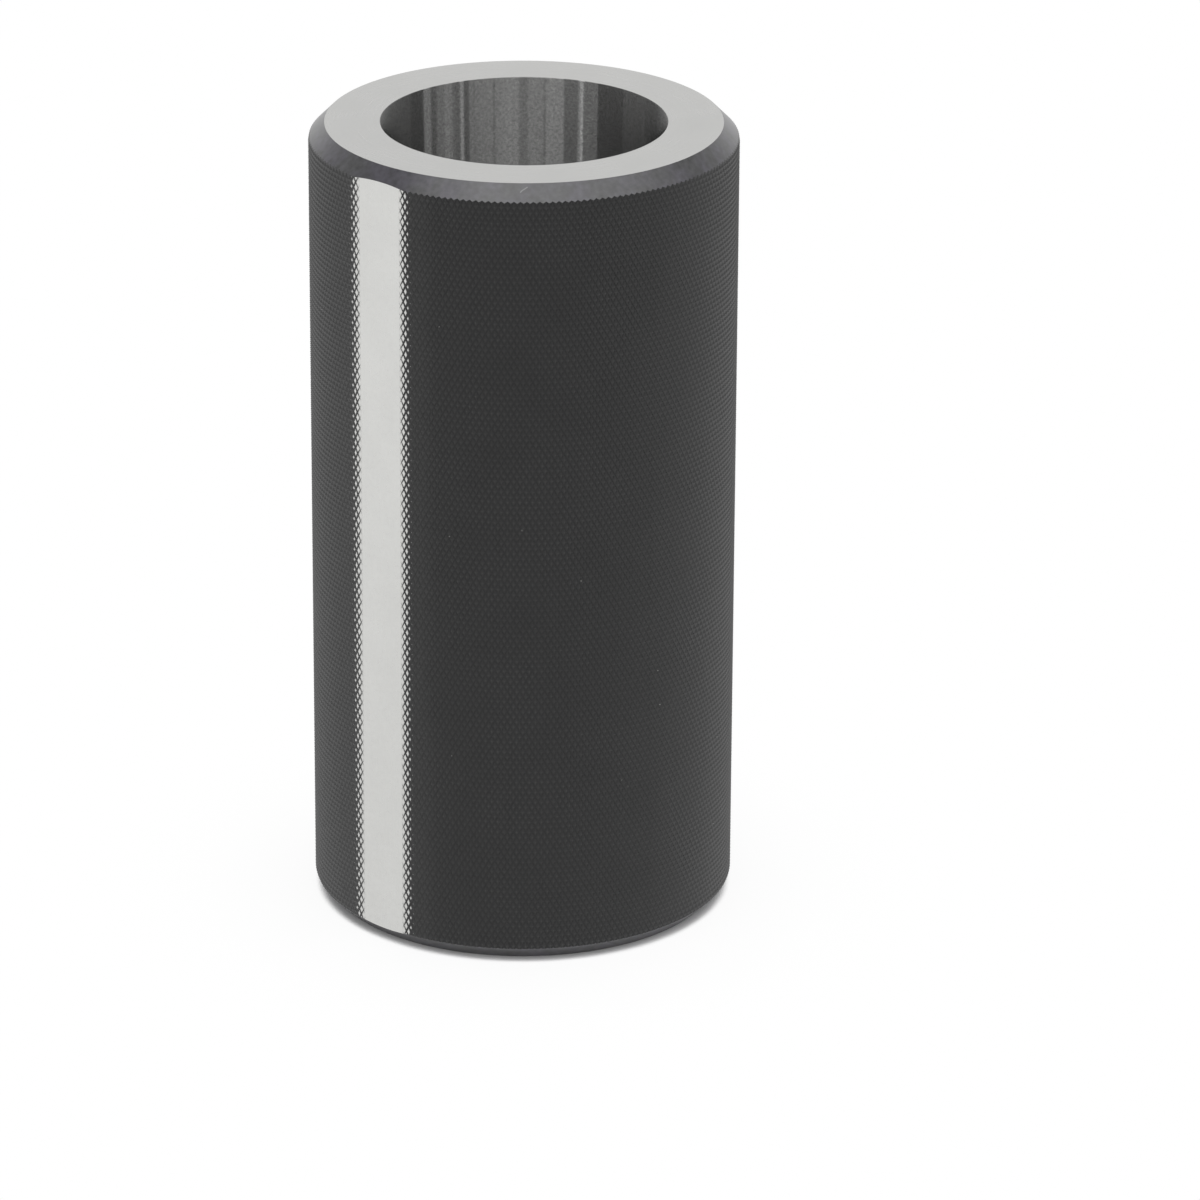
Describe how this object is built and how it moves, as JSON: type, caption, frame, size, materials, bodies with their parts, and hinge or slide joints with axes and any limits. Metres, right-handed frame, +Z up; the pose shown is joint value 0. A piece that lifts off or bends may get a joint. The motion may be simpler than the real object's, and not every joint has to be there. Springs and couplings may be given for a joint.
{
  "type": "morse taper gauge sleeve",
  "caption": "Heavy steel cylinder, knurled and blackened outside, with a ground Morse taper socket right through it, bevelled ends and a bright flat down the front.",
  "frame": {"origin": "centre of the foot face, on the axis of the socket", "axes": "+Z up the socket's axis, from its small end at the foot to the gauge plane at the top; -Y out of the ground flat; +X to the right when the flat is seen from the front"},
  "size_m": [0.0952, 0.0944, 0.182],
  "materials": {
    "blackened_steel": "black oxide over a fine diamond knurl on the outside and its chamfers; end faces, socket and flat ground bright"
  },
  "bodies": {
    "root": {"sleeve": "blackened_steel"}
  },
  "joints": []
}
